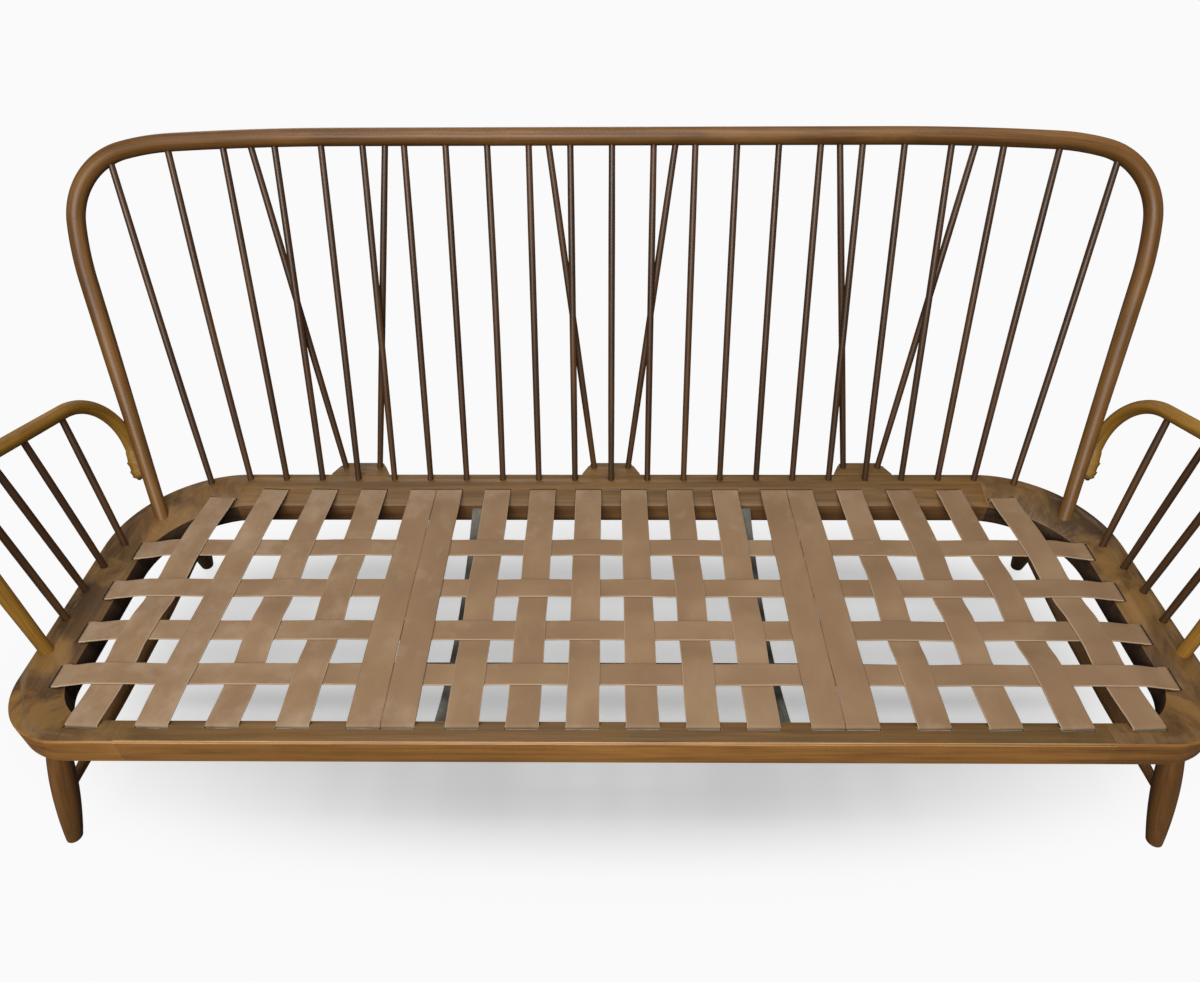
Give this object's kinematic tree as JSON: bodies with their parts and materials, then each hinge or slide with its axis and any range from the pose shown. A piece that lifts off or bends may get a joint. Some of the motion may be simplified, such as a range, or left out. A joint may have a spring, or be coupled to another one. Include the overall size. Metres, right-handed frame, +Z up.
{
  "type": "three-seater sofa frame",
  "caption": "Bent-wood three-seater sofa frame with stick back, bowed arms, splayed legs and a woven rubber webbing seat.",
  "frame": {"origin": "on the floor under the centre of the whole object", "axes": "+X along the seat, +Y from the front to the back, +Z up"},
  "size_m": [1.902, 0.825, 0.8948],
  "materials": {
    "frame_wood": "satin",
    "bow_wood": "satin",
    "stick_wood": "satin",
    "leg_wood": "satin",
    "bare_wood": "matte",
    "webbing": "matte",
    "clip_steel": "satin",
    "screw_steel": "satin"
  },
  "bodies": {
    "root": {"front_rail": "frame_wood", "rear_rail": "frame_wood", "left_side_rail": "frame_wood", "right_side_rail": "frame_wood", "left_cross_rail": "bare_wood", "right_cross_rail": "bare_wood", "bobtail_left": "frame_wood", "bobtail_centre": "frame_wood", "bobtail_right": "frame_wood", "back_hoop": "bow_wood", "back_stick_1": "stick_wood", "back_stick_2": "stick_wood", "back_stick_3": "stick_wood", "back_stick_4": "stick_wood", "back_stick_5": "stick_wood", "back_stick_6": "stick_wood", "back_stick_7": "stick_wood", "back_stick_8": "stick_wood", "back_stick_9": "stick_wood", "back_stick_10": "stick_wood", "back_stick_11": "stick_wood", "back_stick_12": "stick_wood", "back_stick_13": "stick_wood", "back_stick_14": "stick_wood", "back_stick_15": "stick_wood", "back_stick_16": "stick_wood", "back_stick_17": "stick_wood", "back_stick_18": "stick_wood", "back_stick_19": "stick_wood", "back_stick_20": "stick_wood", "back_stick_21": "stick_wood", "back_stick_22": "stick_wood", "back_stick_23": "stick_wood", "brace_stick_1": "stick_wood", "brace_stick_2": "stick_wood", "brace_stick_3": "stick_wood", "brace_stick_4": "stick_wood", "brace_stick_5": "stick_wood", "brace_stick_6": "stick_wood", "left_arm_bow": "bow_wood", "right_arm_bow": "bow_wood", "left_arm_stick_1": "stick_wood", "left_arm_stick_2": "stick_wood", "left_arm_stick_3": "stick_wood", "left_arm_stick_4": "stick_wood", "right_arm_stick_1": "stick_wood", "right_arm_stick_2": "stick_wood", "right_arm_stick_3": "stick_wood", "right_arm_stick_4": "stick_wood", "front_left_leg": "leg_wood", "front_right_leg": "leg_wood", "rear_left_leg": "leg_wood", "rear_right_leg": "leg_wood", "left_side_stretcher": "leg_wood", "right_side_stretcher": "leg_wood", "long_stretcher": "leg_wood", "webbing_fore_aft": "webbing", "webbing_cross": "webbing", "webbing_clips": "clip_steel", "arm_screws": "screw_steel"}
  },
  "joints": []
}
